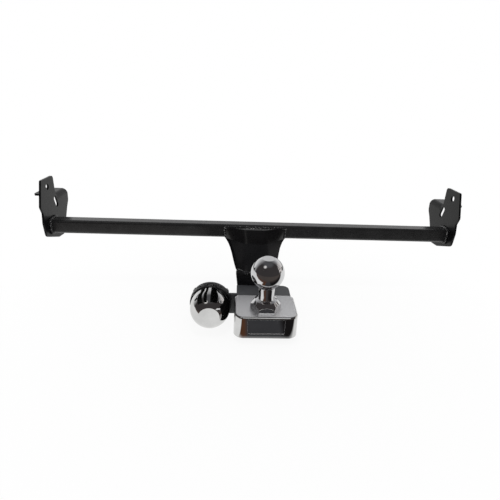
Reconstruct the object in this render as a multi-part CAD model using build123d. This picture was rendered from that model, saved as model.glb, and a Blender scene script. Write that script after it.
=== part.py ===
from build123d import *
import math
import os

# Bolt-on tow bar for a small car, in millimetres.
# The origin is the centre of the tow ball. X runs along the cross tube, Y points at the vehicle, Z is up.

# Tow ball, one forging from the ball down to the threaded shank
ball_diameter = 50.0
ball_flat_height = 23.1
ball_neck_diameter = 24.5
ball_neck_fillet = 3.0
flare_top_z = -42.5
flare_top_diameter = 25.0
flare_height = 2.0
flare_diameter = 34.0
hexagon_across_flats = 41.0
hexagon_shoulder_z = -53.0
hexagon_seat_gap = 0.1
seat_boss_diameter = 30.0
shank_diameter = 20.0
shank_end_chamfer = 2.0
shank_beyond_nut = 4.0

# Nut and lock washer under the tongue
nut_across_flats = 30.0
nut_height = 16.0
nut_chamfer = 2.0
lock_washer_diameter = 32.0
lock_washer_thickness = 4.0
lock_washer_split = 2.5
lock_washer_split_lean = 30.0
shank_clearance = 0.25

# Tongue, the thick flat plate that carries the ball
tongue_top_z = -62.2
tongue_thickness = 12.0
tongue_width = 88.0
tongue_front_y = -22.0
tongue_rear_y = 75.0
tongue_front_radius = 10.0
tongue_rear_radius = 11.0
tongue_weld_corner_radius = 1.5

# Moulded cover over the tongue's front
cover_wall = 2.5
cover_side_gap = 1.3
cover_front_y = -28.0
cover_back_y = 39.5
cover_height = 36.0
cover_corner_radius = 15.0
cover_rear_radius = 10.0
cover_top_fillet = 3.0
cover_inner_fillet = 1.0
cover_draft = 0.8
cover_boss_gap = 1.0
recess_width = 55.5
recess_height = 25.0
recess_drop = 4.0
recess_depth = 1.0
recess_corner_radius = 1.5

# Cross tube
tube_length = 730.0
tube_size = 25.0
tube_wall = 2.5
tube_corner_radius = 4.5
tube_centre_y = 168.0
tube_centre_z = 5.0
ball_offset = 15.0

# End plates, whose corners are given from the tube's axis
plate_thickness = 3.5
tab_top = 84.5
tab_front = -17.0
tab_rear = 27.0
tab_hole_diameter = 11.0
tab_hole_y = 1.0
tab_hole_z = 69.7
slot_length = 22.0
slot_width = 10.0
slot_y = 24.6
slot_z = 37.0
slot_tilt = 17.0
web_top = 48.0
relief_width = 1.8
bend_radius = 10.0
bend_front = 33.5
flange_front = 29.0
flange_rear = 76.5
flange_reach = 41.0
flange_top = 48.5
flange_ear_gap = 2.0
flange_corner_radius = 4.0
flange_hole_diameter = 11.0
tab_front_radius = 3.0
tab_rear_radius = 5.0
tab_taper = 1.0

# The plate's edge from the flange round below the tube to the tab: (Y, Z, corner radius) from the tube's axis
plate_lower_edge = [
    (75.0, 26.0, 14.0),
    (65.5, 14.0, 14.0),
    (38.0, -31.0, 8.0),
    (14.0, -29.5, 20.0),
    (-29.0, -13.0, 9.0),
    (-31.5, 12.0, 12.0),
    (-28.0, 30.0, 6.0),
    (-33.0, 42.0, 6.0),
]

# Neck, a pressed channel from the tube's front face down to an upright foot
neck_middle_x = -12.0
neck_thickness = 4.0
neck_top_half_width = 57.0
neck_tube_half_width = 55.0
neck_shoulder_half_width = 47.5
neck_waist_half_width = 42.5
neck_foot_half_width = 34.0
neck_flat_half_width = 18.0
neck_bend_radius = 20.0
neck_top_depth = 12.0
neck_tube_depth = 29.5
neck_shoulder_drop = 7.0
neck_waist_drop = 15.0
neck_slope = 44.0
neck_front_lap = 1.5
neck_front_sag = 3.0
foot_thickness = 8.0
foot_top_z = -39.0
foot_half_width = 30.0
foot_channel_overhang = 5.0

# Socket bracket, beside the cover
bracket_thickness = 4.0
bracket_front_y = 40.0
bracket_top_z = -60.0
bracket_bottom_z = -96.5
bracket_disc_inset = 1.0
bracket_inner_x = -12.0
bracket_corner_radius = 6.0
bracket_bore_gap = 0.5

# Trailer socket, given from its axis and from the bracket's front face forward
socket_x = -86.0
socket_z = -72.5
gasket_thickness = 2.0
socket_bore_radius = 20.5
barrel_wall = 2.5
barrel_length = 20.0
housing_flange_width = 10.0
housing_flange_front = 11.5
housing_edge_fillet = 1.0
chamber_ledge = 3.0
insert_seat = -8.0
insert_base_thickness = 7.0
chamber_depth = 8.0
insert_gap = 0.15
plug_ring_width = 5.5
core_front = 5.0
core_chamfer = 1.0
sleeve_outer_diameter = 6.0
sleeve_bore = 4.9
sleeve_tail = 3.0
sleeve_inset = 5.0
sleeves_round_centre = 6

# Three screws through the housing, gasket and bracket
screw_angles = (30.0, 150.0, 270.0)
screw_diameter = 5.0
screw_hole_gap = 0.25
screw_head_diameter = 8.8
screw_head_height = 3.0
screw_head_fillet = 1.0
counterbore_gap = 0.3
counterbore_depth = 3.6
screw_beyond_nut = 1.5
washer_diameter = 9.4
washer_thickness = 1.0
small_nut_across_flats = 8.0
small_nut_height = 4.0

# Lid, its hinge and its spring
lid_gap = 0.8
lid_thickness = 3.0
lid_rim_gap = 0.05
dome_wall = 2.0
dome_skirt = 11.0
dome_height = 37.5
dome_face_radius = 16.5
dome_rim_inset = 1.75
seal_inset = 0.5
seal_width = 2.0
seal_gap = 0.3
seal_groove = 1.0
hinge_inset = 4.5
hinge_back = 6.3
pin_diameter = 3.6
pin_length = 31.0
pin_hold_gap = 0.02
pin_running_gap = 0.05
knuckle_radius = 3.9
knuckle_width = 4.0
knuckle_side_gap = 0.3
ear_edge_gap = 0.4
ear_shoulder = 1.0
hinge_slot_half_width = 9.5
hinge_slot_floor_drop = 4.3
hinge_slot_back = 2.0
spring_wire = 1.0
spring_coil_radius = 3.3
spring_pitch = 1.6
spring_half_turns = 10
spring_leg_gap = 0.4
spring_hole_gap = 0.3

# Cable gland in the back of the housing
gland_thread_diameter = 16.0
gland_thread_gap = 0.1
gland_thread_length = 7.0
gland_hexagon = 20.0
gland_hexagon_height = 5.0
gland_collar_diameter = 14.0
gland_collar_length = 8.0
gland_nut_length = 15.0
gland_nut_gap = 0.3
gland_cable_bore = 8.0
gland_seal_wall = 1.5
gland_seal_length = 6.0
gland_nut_crown = 5.0

# Weld beads
weld_leg = 4.0
weld_toe = 0.2
weld_rod_radius = 3.0

# How far a cut runs past the face that it opens
cut_extra = 1.0

# Places worked out from the sizes above
tube_middle_x = -ball_offset
tube_left_x = tube_middle_x - tube_length / 2
tube_right_x = tube_middle_x + tube_length / 2
tube_front_y = tube_centre_y - tube_size / 2
tube_top_z = tube_centre_z + tube_size / 2
tube_bottom_z = tube_centre_z - tube_size / 2
tongue_bottom_z = tongue_top_z - tongue_thickness
cover_top_z = tongue_top_z + cover_wall
cover_half_width = tongue_width / 2 + cover_side_gap + cover_wall
cover_bottom_z = cover_top_z - cover_height
hexagon_bottom_z = cover_top_z + hexagon_seat_gap
lock_washer_bottom_z = tongue_bottom_z - lock_washer_thickness
nut_bottom_z = lock_washer_bottom_z - nut_height
shank_end_z = nut_bottom_z - shank_beyond_nut
foot_front_y = tongue_rear_y
foot_back_y = foot_front_y + foot_thickness
lid_back = housing_flange_front + lid_gap
lid_front = lid_back + lid_thickness
housing_back = -barrel_length
barrel_radius = socket_bore_radius + barrel_wall
housing_radius = barrel_radius + housing_flange_width
bracket_disc_radius = housing_radius - bracket_disc_inset
chamber_radius = socket_bore_radius - chamber_ledge
core_radius = socket_bore_radius - plug_ring_width
sleeve_circle_radius = core_radius - sleeve_inset
seal_inner_radius = socket_bore_radius + seal_inset
seal_outer_radius = seal_inner_radius + seal_width
screw_circle_radius = (housing_radius + barrel_radius) / 2
dome_radius = housing_radius - dome_rim_inset
hinge_height = housing_radius - hinge_inset
hinge_slot_floor = hinge_height - hinge_slot_floor_drop


def outline(corners):
    """Closed face through corners given as (u, v, corner radius)."""
    points = [(u, v) for u, v, radius in corners]
    radii = [radius for u, v, radius in corners]
    return make_face(FilletPolyline(*points, radius=radii, close=True))


def upright_plane(y):
    """Plane across Y that is drawn in X and Z, seen from the front."""
    return Plane(origin=(0, y, 0), x_dir=(1, 0, 0), z_dir=(0, -1, 0))


def rod(start, end, radius):
    """Round rod from one point to another."""
    axis = Vector(*end) - Vector(*start)
    plane = Plane(origin=start, z_dir=axis)
    return extrude(plane * Circle(radius), axis.length)


def hexagon_prism(across_flats, low_z, high_z):
    """Upright hexagonal prism about the Z axis, a flat facing the front."""
    corner_radius = across_flats / math.sqrt(3)
    section = RegularPolygon(corner_radius, 6)
    return extrude(Plane.XY.offset(low_z) * section, high_z - low_z)


def ring_of(radius, inner_radius, low, high):
    """Ring about the Z axis."""
    return extrude(Plane.XY.offset(low) * (Circle(radius) - Circle(inner_radius)), high - low)


# Cross tube
def make_cross_tube():
    outer = RectangleRounded(tube_size, tube_size, tube_corner_radius)
    hollow_size = tube_size - 2 * tube_wall
    hollow = RectangleRounded(hollow_size, hollow_size, tube_corner_radius - tube_wall)
    return extrude(tube_end_plane(tube_left_x) * (outer - hollow), tube_length)


def tube_end_plane(x):
    """Plane across the tube, drawn in Y and Z from the tube's axis."""
    return Plane(origin=(x, tube_centre_y, tube_centre_z), x_dir=(0, 1, 0), z_dir=(1, 0, 0))


# End plates
def make_right_plate():
    """Laser-cut blank with an upright tab, and a flange bent outward behind it."""
    bend_line = flange_top - bend_radius
    relief_front = bend_front - relief_width
    blank = outline([
        (tab_front, tab_top, tab_front_radius),
        (tab_rear, tab_top, tab_rear_radius),
        (tab_rear - tab_taper, web_top, relief_width),
        (relief_front, web_top, relief_width / 2),
        (relief_front, bend_line, 0.0),
        (flange_rear, bend_line, 0.0),
        *plate_lower_edge,
    ])
    slot = Pos(slot_y, slot_z) * Rot(0, 0, 90 + slot_tilt) * SlotOverall(slot_length, slot_width)
    tab_hole = Pos(tab_hole_y, tab_hole_z) * Circle(tab_hole_diameter / 2)
    plane = tube_end_plane(tube_right_x)
    flat_part = extrude(plane * (blank - slot - tab_hole), plate_thickness)
    return flat_part + make_plate_bend(bend_line) + make_plate_flange()


def make_plate_bend(bend_line):
    """Quarter turn from the plate's face into the flange."""
    quarter = Pos(bend_radius, bend_line) * (Circle(bend_radius) - Circle(bend_radius - plate_thickness))
    corner = Pos(bend_radius / 2, bend_line + bend_radius / 2) * Rectangle(bend_radius, bend_radius)
    rear_y = tube_centre_y + flange_rear
    plane = Plane(origin=(tube_right_x, rear_y, tube_centre_z), x_dir=(1, 0, 0), z_dir=(0, -1, 0))
    return extrude(plane * (quarter & corner), flange_rear - bend_front)


def make_plate_flange():
    """Flat flange past the bend, with an ear that reaches in front of it and a bolt hole."""
    plan = outline([
        (bend_radius, bend_front, 0.0),
        (bend_radius, flange_rear, 0.0),
        (flange_reach, flange_rear, flange_corner_radius),
        (flange_reach, flange_front, flange_corner_radius),
        (bend_radius + flange_ear_gap, flange_front, 1.5),
        (bend_radius + flange_ear_gap, bend_front, 0.0),
    ])
    hole_x = (bend_radius + flange_reach) / 2
    hole_y = (flange_front + flange_rear) / 2
    hole = Pos(hole_x, hole_y) * Circle(flange_hole_diameter / 2)
    low_z = tube_centre_z + flange_top - plate_thickness
    plane = Plane(origin=(tube_right_x, tube_centre_y, low_z))
    return extrude(plane * (plan - hole), plate_thickness)


def mirror_to_left(shape):
    """The same piece at the tube's other end."""
    return mirror(shape, about=Plane.YZ.offset(tube_middle_x))


def make_plate_weld():
    """Bead all round the tube where it meets the right plate."""
    wide_size = tube_size + 2 * weld_leg
    wide = RectangleRounded(wide_size, wide_size, tube_corner_radius + weld_leg)
    narrow_size = tube_size + 2 * weld_toe
    narrow = RectangleRounded(narrow_size, narrow_size, tube_corner_radius + weld_toe)
    cone = loft([tube_end_plane(tube_right_x) * wide, tube_end_plane(tube_right_x - weld_leg) * narrow])
    core = RectangleRounded(tube_size, tube_size, tube_corner_radius)
    return cone - extrude(tube_end_plane(tube_right_x - weld_leg) * core, weld_leg)


# Neck
def channel_section(z, half_width, front_y, back_y, front_wall):
    """Channel cut at one height: flat front, round bends and two sides that lean outward."""
    run = half_width - neck_flat_half_width
    depth = back_y - front_y
    side_wall = neck_thickness * math.hypot(run, depth) / depth
    inner_front_y = front_y + front_wall
    inner_flat = neck_flat_half_width + front_wall * run / depth - side_wall
    inner_back = half_width - side_wall
    outer = [(-half_width, back_y), (-neck_flat_half_width, front_y)]
    outer += [(neck_flat_half_width, front_y), (half_width, back_y)]
    inner = [(inner_back, back_y), (inner_flat, inner_front_y)]
    inner += [(-inner_flat, inner_front_y), (-inner_back, back_y)]
    outer_bend = neck_bend_radius
    inner_bend = neck_bend_radius - neck_thickness
    radii = [0, outer_bend, outer_bend, 0, 0, inner_bend, inner_bend, 0]
    corners = [(x, y, radius) for (x, y), radius in zip(outer + inner, radii)]
    return Plane(origin=(neck_middle_x, 0, z)) * outline(corners)


def make_neck_channel():
    """Sheet channel that stands on the tube's front face and narrows down to the foot."""
    top_z = tube_top_z - tube_corner_radius
    shoulder_z = tube_bottom_z - neck_shoulder_drop
    waist_z = tube_bottom_z - neck_waist_drop
    front_wall = neck_thickness / math.cos(math.radians(neck_slope))
    top_front = tube_front_y - neck_top_depth
    tube_front = tube_front_y - neck_tube_depth
    foot_back = foot_back_y + foot_channel_overhang

    def front_at(z):
        share = (tube_bottom_z - z) / (tube_bottom_z - foot_top_z)
        straight = tube_front + (foot_front_y + neck_front_lap - tube_front) * share
        return straight - neck_front_sag * math.sin(math.pi * share)

    def back_at(z):
        share = (tube_bottom_z - z) / (tube_bottom_z - foot_top_z)
        return tube_front_y + (foot_back - tube_front_y) * share

    upper = loft([
        channel_section(top_z, neck_top_half_width, top_front, tube_front_y, front_wall),
        channel_section(tube_bottom_z, neck_tube_half_width, tube_front, tube_front_y, front_wall),
    ])
    widths = [
        (tube_bottom_z, neck_tube_half_width),
        (shoulder_z, neck_shoulder_half_width),
        (waist_z, neck_waist_half_width),
        (foot_top_z, neck_foot_half_width),
    ]
    lower = loft([channel_section(z, width, front_at(z), back_at(z), front_wall) for z, width in widths])
    return upper + lower


def make_neck_foot():
    """Upright plate under the channel, whose lower edge butts the tongue."""
    profile = outline([
        (neck_middle_x - neck_foot_half_width, foot_top_z, 1.0),
        (neck_middle_x + neck_foot_half_width, foot_top_z, 1.0),
        (neck_middle_x + foot_half_width, tongue_bottom_z, 1.0),
        (neck_middle_x - foot_half_width, tongue_bottom_z, 1.0),
    ])
    return extrude(upright_plane(foot_back_y) * profile, foot_thickness)


def make_neck_tube_weld(neck, tube):
    """Beads along the channel's top edge and down both its sides on the tube."""
    top_z = tube_top_z - tube_corner_radius
    top_left = (neck_middle_x - neck_top_half_width, tube_front_y, top_z)
    top_right = (neck_middle_x + neck_top_half_width, tube_front_y, top_z)
    top_rod = rod(top_left, top_right, weld_rod_radius) - neck - tube
    beads = [top_rod.solids().sort_by(Axis.Z)[-1]]
    for side in (-1, 1):
        high = (neck_middle_x + side * neck_top_half_width, tube_front_y, top_z - weld_rod_radius)
        low = (neck_middle_x + side * neck_tube_half_width, tube_front_y, tube_bottom_z)
        side_rod = rod(high, low, weld_rod_radius) - neck - tube - beads[0]
        outermost = 0 if side < 0 else -1
        beads.append(side_rod.solids().sort_by(Axis.X)[outermost])
    return beads


def make_neck_foot_weld(neck, foot):
    """Bead round the front and both sides where the channel stands on the foot."""
    back = foot_back_y + foot_channel_overhang
    bead = rod(
        (neck_middle_x - neck_flat_half_width, foot_front_y, foot_top_z),
        (neck_middle_x + neck_flat_half_width, foot_front_y, foot_top_z),
        weld_rod_radius,
    )
    for side in (-1, 1):
        inner_end = (neck_middle_x + side * neck_flat_half_width, foot_front_y, foot_top_z)
        outer_end = (neck_middle_x + side * (neck_foot_half_width - weld_rod_radius), back, foot_top_z)
        bead += rod(inner_end, outer_end, weld_rod_radius)
        bead += Pos(*inner_end) * Sphere(weld_rod_radius)
    return bead - neck - foot


def make_foot_tongue_weld(foot, tongue):
    """Bead across the underside where the foot butts the tongue."""
    left = (-tongue_width / 2 + weld_rod_radius, tongue_rear_y, tongue_bottom_z)
    right = (neck_middle_x + foot_half_width - weld_rod_radius, tongue_rear_y, tongue_bottom_z)
    return rod(left, right, weld_rod_radius) - foot - tongue


# Tongue and socket bracket
def make_tongue():
    half = tongue_width / 2
    plan = outline([
        (-half, tongue_front_y, tongue_front_radius),
        (half, tongue_front_y, tongue_front_radius),
        (half, tongue_rear_y, tongue_rear_radius),
        (-half, tongue_rear_y, tongue_weld_corner_radius),
    ])
    bore = Circle(shank_diameter / 2 + shank_clearance)
    return extrude(Plane.XY.offset(tongue_bottom_z) * (plan - bore), tongue_thickness)


def make_socket_bracket():
    """Plate with a round lobe behind the socket and a step that fits round the tongue's left edge."""
    half = tongue_width / 2
    arm = outline([
        (socket_x, bracket_top_z, 0.0),
        (-half, bracket_top_z, 0.0),
        (-half, tongue_bottom_z, 0.0),
        (bracket_inner_x, tongue_bottom_z, 0.0),
        (bracket_inner_x, bracket_bottom_z, bracket_corner_radius),
        (socket_x, bracket_bottom_z, 0.0),
    ])
    lobe = Pos(socket_x, socket_z) * Circle(bracket_disc_radius)
    bore = Pos(socket_x, socket_z) * Circle(barrel_radius + bracket_bore_gap)
    profile = arm + lobe - bore
    for x, z in screw_places():
        profile -= Pos(socket_x + x, socket_z + z) * Circle(screw_diameter / 2 + screw_hole_gap)
    back_y = bracket_front_y + bracket_thickness
    return extrude(upright_plane(back_y) * profile, bracket_thickness)


def make_bracket_weld(bracket, tongue):
    """Bead up the corner between the bracket's back and the tongue's left edge."""
    back_y = bracket_front_y + bracket_thickness
    low = (-tongue_width / 2, back_y, tongue_bottom_z)
    high = (-tongue_width / 2, back_y, tongue_top_z)
    return rod(low, high, weld_rod_radius) - bracket - tongue


# Moulded cover
def make_cover():
    """Drafted shell that is open below and behind, with a bare recess on its front."""
    spread = math.tan(math.radians(cover_draft)) * cover_height
    half = cover_half_width + spread
    front = cover_front_y - spread
    outer_plan = cover_plan(half, front, 0.0)
    outer = extrude(outer_plan, cover_height, taper=cover_draft)
    outer = fillet(outer.faces().sort_by(Axis.Z)[-1].edges(), cover_top_fillet)
    inner_plan = cover_plan(half - cover_wall, front + cover_wall, cover_wall)
    inner = extrude(inner_plan, cover_height - cover_wall, taper=cover_draft)
    inner = fillet(inner.faces().sort_by(Axis.Z)[-1].edges(), cover_inner_fillet)
    hole_radius = seat_boss_diameter / 2 + cover_boss_gap
    boss_hole = rod((0, 0, tongue_top_z - cut_extra), (0, 0, cover_top_z + cut_extra), hole_radius)
    return outer - inner - boss_hole - make_cover_doorway() - make_cover_recess()


def cover_plan(half, front, inset):
    """Plan of the cover at its lower edge, with its corners and edges drawn in by an inset."""
    back = cover_back_y - inset
    plan = outline([
        (-half, front, cover_corner_radius - inset),
        (half, front, cover_corner_radius - inset),
        (half, back, cover_rear_radius - inset),
        (-half, back, cover_rear_radius - inset),
    ])
    return Plane.XY.offset(cover_bottom_z) * plan


def make_cover_doorway():
    """Block cut out of the back for the tongue, the full height under the top sheet."""
    depth = cover_rear_radius + 2 * cut_extra
    height = tongue_top_z - cover_bottom_z + cut_extra
    width = tongue_width + 2 * cover_side_gap
    centre_y = cover_back_y + cut_extra - depth / 2
    centre_z = tongue_top_z - height / 2
    return Pos(0, centre_y, centre_z) * Box(width, depth, height)


def make_cover_recess():
    """Shallow block that sinks the bare label place into the drafted front."""
    centre_z = cover_top_z - recess_drop - recess_height / 2
    half_width = recess_width / 2
    half_height = recess_height / 2
    radius = recess_corner_radius
    profile = outline([
        (-half_width, centre_z - half_height, radius),
        (half_width, centre_z - half_height, radius),
        (half_width, centre_z + half_height, radius),
        (-half_width, centre_z + half_height, radius),
    ])
    depth = recess_depth + 2 * cut_extra
    return extrude(upright_plane(cover_front_y + recess_depth) * profile, depth)


# Tow ball and what holds it
def make_tow_ball():
    ball = Sphere(ball_diameter / 2)
    ball -= Pos(0, 0, ball_flat_height + ball_diameter / 2) * Box(ball_diameter, ball_diameter, ball_diameter)
    neck = rod((0, 0, flare_top_z), (0, 0, 0), ball_neck_diameter / 2)
    head = ball + neck
    ring_z = -math.sqrt((ball_diameter / 2) ** 2 - (ball_neck_diameter / 2) ** 2)
    seam = [edge for edge in head.edges().filter_by(GeomType.CIRCLE) if abs(edge.center().Z - ring_z) < 0.05]
    head = fillet(seam, ball_neck_fillet)
    corner_radius = hexagon_across_flats / math.sqrt(3)
    cone = revolve(Plane.XZ * make_face(Polyline(
        (0, flare_top_z),
        (flare_top_diameter / 2, flare_top_z),
        (flare_diameter / 2, flare_top_z - flare_height),
        (corner_radius, hexagon_shoulder_z),
        (corner_radius, hexagon_bottom_z),
        (0, hexagon_bottom_z),
        close=True,
    )), Axis.Z)
    hexagon = hexagon_prism(hexagon_across_flats, hexagon_bottom_z, flare_top_z)
    boss = rod((0, 0, tongue_top_z), (0, 0, hexagon_bottom_z), seat_boss_diameter / 2)
    shank = rod((0, 0, shank_end_z), (0, 0, tongue_top_z), shank_diameter / 2)
    shank = chamfer(shank.edges().sort_by(Axis.Z)[0], shank_end_chamfer)
    return head + (cone & hexagon) + boss + shank


def make_lock_washer():
    """Spring washer with its split."""
    washer = ring_of(lock_washer_diameter / 2, shank_diameter / 2 + shank_clearance,
                     lock_washer_bottom_z, tongue_bottom_z)
    middle_z = (lock_washer_bottom_z + tongue_bottom_z) / 2
    cutter = Box(lock_washer_split, lock_washer_diameter, 4 * lock_washer_thickness)
    return washer - Pos(0, -lock_washer_diameter / 2, middle_z) * Rot(0, lock_washer_split_lean, 0) * cutter


def make_ball_nut():
    nut = hexagon_prism(nut_across_flats, nut_bottom_z, lock_washer_bottom_z)
    corner_radius = nut_across_flats / math.sqrt(3)
    barrel = rod((0, 0, nut_bottom_z), (0, 0, lock_washer_bottom_z), corner_radius)
    barrel = chamfer(barrel.edges().filter_by(GeomType.CIRCLE), nut_chamfer)
    bore = rod((0, 0, nut_bottom_z), (0, 0, lock_washer_bottom_z), shank_diameter / 2)
    return (nut & barrel) - bore


# Trailer socket, drawn about its own axis with Z pointing forward, then set in place
def socket_place():
    return Plane(origin=(socket_x, bracket_front_y, socket_z), x_dir=(1, 0, 0), z_dir=(0, -1, 0)).location


def in_socket(shape):
    return socket_place() * shape


def screw_places():
    """Offsets of the three screws from the socket's axis."""
    places = []
    for angle in screw_angles:
        turn = math.radians(angle)
        places.append((screw_circle_radius * math.cos(turn), screw_circle_radius * math.sin(turn)))
    return places


def bar(low, high, radius, x=0.0, y=0.0):
    """Round bar along the socket's axis."""
    return rod((x, y, low), (x, y, high), radius)


def make_socket_housing():
    """Round moulding with a front flange, a rear barrel, a stepped bore and a hinge slot."""
    flange = bar(gasket_thickness, housing_flange_front, housing_radius)
    flange = fillet(flange.edges().filter_by(GeomType.CIRCLE), housing_edge_fillet)
    body = flange + bar(housing_back, gasket_thickness, barrel_radius)
    body -= bar(insert_seat, housing_flange_front, socket_bore_radius)
    body -= bar(insert_seat - chamber_depth, insert_seat, chamber_radius)
    body -= bar(housing_back, insert_seat, gland_thread_diameter / 2 + gland_thread_gap)
    for x, y in screw_places():
        body -= bar(gasket_thickness, housing_flange_front, screw_diameter / 2 + screw_hole_gap, x, y)
        head_floor = housing_flange_front - counterbore_depth
        head_radius = screw_head_diameter / 2 + counterbore_gap
        body -= bar(head_floor, housing_flange_front, head_radius, x, y)
    body -= make_hinge_slot()
    hole_radius = pin_diameter / 2 + pin_hold_gap
    left = (-housing_radius, hinge_height, hinge_back)
    right = (housing_radius, hinge_height, hinge_back)
    return body - rod(left, right, hole_radius)


def make_hinge_slot():
    """Block cut through the flange's top for the lid's ears and the spring."""
    height = housing_radius - hinge_slot_floor + cut_extra
    depth = housing_flange_front - hinge_slot_back + cut_extra
    centre_y = hinge_slot_floor + height / 2
    centre_z = hinge_slot_back + depth / 2
    return Pos(0, centre_y, centre_z) * Box(2 * hinge_slot_half_width, height, depth)


def make_socket_gasket():
    outer_radius = housing_radius - housing_edge_fillet
    gasket = ring_of(outer_radius, barrel_radius + bracket_bore_gap, 0, gasket_thickness)
    for x, y in screw_places():
        gasket -= bar(0, gasket_thickness, screw_diameter / 2 + screw_hole_gap, x, y)
    return gasket


def sleeve_places():
    """One contact in the middle and the others evenly round it."""
    places = [(0.0, 0.0)]
    for index in range(sleeves_round_centre):
        turn = 2 * math.pi * index / sleeves_round_centre
        places.append((sleeve_circle_radius * math.cos(turn), sleeve_circle_radius * math.sin(turn)))
    return places


def make_contact_base():
    """Disc on the bore's ledge that holds the sleeves' tails."""
    front = insert_seat + insert_base_thickness
    base = bar(insert_seat, front, socket_bore_radius - insert_gap)
    for x, y in sleeve_places():
        base -= bar(insert_seat, front, sleeve_outer_diameter / 2, x, y)
    return base


def make_contact_core():
    """Core on the base disc, which the plug's skirt goes round."""
    back = insert_seat + insert_base_thickness
    core = bar(back, core_front, core_radius)
    core = chamfer(core.edges().sort_by(Axis.Z)[-1], core_chamfer)
    for x, y in sleeve_places():
        core -= bar(back, core_front, sleeve_outer_diameter / 2, x, y)
    return core


def make_contact_sleeves():
    sleeves = []
    for x, y in sleeve_places():
        outer = bar(insert_seat - sleeve_tail, core_front, sleeve_outer_diameter / 2, x, y)
        sleeves.append(outer - bar(insert_seat, core_front, sleeve_bore / 2, x, y))
    return sleeves


def make_socket_screws():
    """Pan-head screws with their heads in the counterbores."""
    head_floor = housing_flange_front - counterbore_depth
    tip = -bracket_thickness - washer_thickness - small_nut_height - screw_beyond_nut
    screws = []
    for x, y in screw_places():
        head = bar(head_floor, head_floor + screw_head_height, screw_head_diameter / 2, x, y)
        head = fillet(head.edges().sort_by(Axis.Z)[-1], screw_head_fillet)
        screws.append(head + bar(tip, head_floor, screw_diameter / 2, x, y))
    return screws


def make_socket_washers():
    high = -bracket_thickness
    low = high - washer_thickness
    washers = []
    for x, y in screw_places():
        hole = bar(low, high, screw_diameter / 2 + screw_hole_gap, x, y)
        washers.append(bar(low, high, washer_diameter / 2, x, y) - hole)
    return washers


def make_socket_nuts():
    high = -bracket_thickness - washer_thickness
    low = high - small_nut_height
    nuts = []
    for x, y in screw_places():
        nut = Pos(x, y, 0) * hexagon_prism(small_nut_across_flats, low, high)
        nuts.append(nut - bar(low, high, screw_diameter / 2, x, y))
    return nuts


# Lid
def make_socket_lid():
    """Round lid plate with a groove for its seal and two ears on the hinge pin."""
    plate_radius = dome_radius - dome_wall - lid_rim_gap
    plate = bar(lid_back, lid_front, plate_radius)
    plate -= ring_of(seal_outer_radius, seal_inner_radius, lid_back, lid_back + seal_groove)
    ear_outer = hinge_slot_half_width - knuckle_side_gap
    ear_top = plate_radius - ear_edge_gap
    side = Circle(knuckle_radius) + make_face(Polyline(
        (-knuckle_radius, 0),
        (-knuckle_radius, lid_back - hinge_back),
        (ear_top - hinge_height, lid_back - hinge_back),
        (math.sqrt(knuckle_radius ** 2 - ear_shoulder ** 2), ear_shoulder),
        close=True,
    ))
    for start in (-ear_outer, ear_outer - knuckle_width):
        plane = Plane(origin=(start, hinge_height, hinge_back), x_dir=(0, 1, 0), z_dir=(1, 0, 0))
        plate += extrude(plane * side, knuckle_width)
    hole_radius = pin_diameter / 2 + pin_running_gap
    pin_hole = rod((-ear_outer, hinge_height, hinge_back), (ear_outer, hinge_height, hinge_back), hole_radius)
    spring_x = spring_half_turns * spring_pitch / 4
    spring_y = hinge_height - spring_coil_radius
    leg_hole = bar(lid_back, lid_front, spring_wire / 2 + spring_hole_gap, spring_x, spring_y)
    return plate - pin_hole - leg_hole


def make_lid_dome():
    """Thin chromed dome with a straight skirt and a flat round face, pushed over the lid plate."""
    rise = dome_height - dome_skirt
    run = dome_radius - dome_face_radius
    shoulder_radius = (rise ** 2 + run ** 2) / (2 * run)
    outer = dome_body(dome_radius, shoulder_radius, dome_height)
    inner = dome_body(dome_radius - dome_wall, shoulder_radius - dome_wall, dome_height - dome_wall)
    return outer - inner


def dome_body(radius, shoulder_radius, height):
    """Solid dome: a straight skirt, a round shoulder tangent to it, and a flat face in front."""
    back = lid_back
    skirt_end = back + dome_skirt
    centre_out = radius - shoulder_radius
    turn = math.degrees(math.asin((height - dome_skirt) / shoulder_radius))
    shoulder = CenterArc((centre_out, skirt_end), shoulder_radius, 0, turn)
    edges = [
        Line((0, back), (radius, back)),
        Line((radius, back), (radius, skirt_end)),
        shoulder,
        Line(shoulder @ 1, (0, back + height)),
        Line((0, back + height), (0, back)),
    ]
    return revolve(Plane.XZ * make_face(edges), Axis.Z)


def make_lid_seal():
    front = lid_back + seal_groove
    return ring_of(seal_outer_radius, seal_inner_radius, housing_flange_front + seal_gap, front)


def make_hinge_pin():
    half = pin_length / 2
    return rod((-half, hinge_height, hinge_back), (half, hinge_height, hinge_back), pin_diameter / 2)


def spring_path():
    """Coil of half turns about the pin, whose two legs leave its underside."""
    length = spring_half_turns * spring_pitch / 2
    points = []
    for index in range(spring_half_turns + 1):
        side = -1 if index % 2 == 0 else 1
        x = -length / 2 + index * spring_pitch / 2
        points.append(Vector(x, hinge_height + side * spring_coil_radius, hinge_back))
    arcs = []
    for index in range(spring_half_turns):
        start = points[index]
        end = points[index + 1]
        reach = (end - start).length / 2
        bulge = 1 if index % 2 == 0 else -1
        middle = (start + end) * 0.5 + Vector(0, 0, bulge * reach)
        arcs.append(ThreePointArc(start, middle, end))
    rear_end = hinge_slot_back + spring_leg_gap
    front_end = lid_front - spring_leg_gap
    first = Line((points[0].X, points[0].Y, rear_end), points[0])
    last = Line(points[-1], (points[-1].X, points[-1].Y, front_end))
    return first, arcs, last


def make_lid_spring():
    """Torsion spring, one unbroken round wire."""
    first, arcs, last = spring_path()
    path = Wire([*first.edges(), *[edge for arc in arcs for edge in arc.edges()], *last.edges()])
    section = Plane(origin=path @ 0, z_dir=path % 0) * Circle(spring_wire / 2)
    return sweep(section, path=path)


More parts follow.
